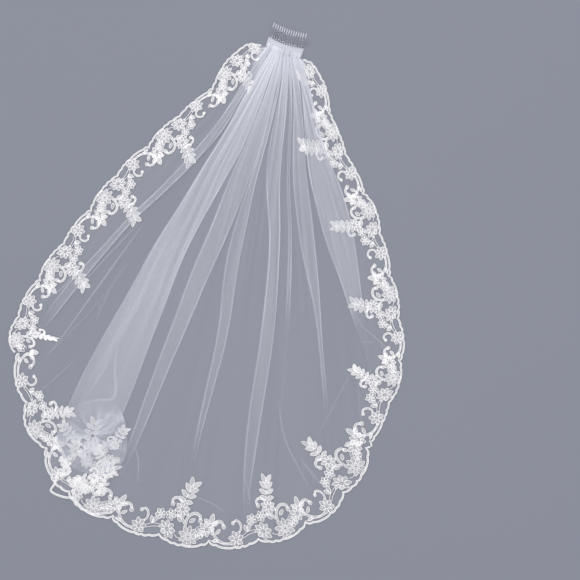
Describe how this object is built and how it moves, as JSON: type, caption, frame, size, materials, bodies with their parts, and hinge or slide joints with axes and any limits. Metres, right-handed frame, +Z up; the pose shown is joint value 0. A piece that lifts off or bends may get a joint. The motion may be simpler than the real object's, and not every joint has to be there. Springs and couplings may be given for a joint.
{
  "type": "bridal veil",
  "caption": "One-tier bridal veil of soft tulle edged with corded flower lace, gathered onto a clear hair comb and laid out flat in a fan of folds",
  "frame": {"origin": "the middle of the laid-out veil's outline box, on the surface that it lies on", "axes": "+X across the veil to its right side as it lies, +Y from the hem to the comb, +Z up from the surface"},
  "size_m": [0.7903, 1.0469, 0.0332],
  "materials": {
    "comb_plastic": "clear moulded plastic, polished",
    "binding": "folded and gathered tulle, matt",
    "tulle": "soft fine nylon tulle, sheer",
    "lace": "corded lace thread, slight sheen"
  },
  "bodies": {
    "root": {"comb": "comb_plastic", "header_binding": "binding", "tulle_panel": "tulle", "fold_left": "tulle", "fold_right": "tulle", "corner_fold": "tulle", "lace_left": "lace", "lace_hem": "lace", "lace_right": "lace"}
  },
  "joints": []
}
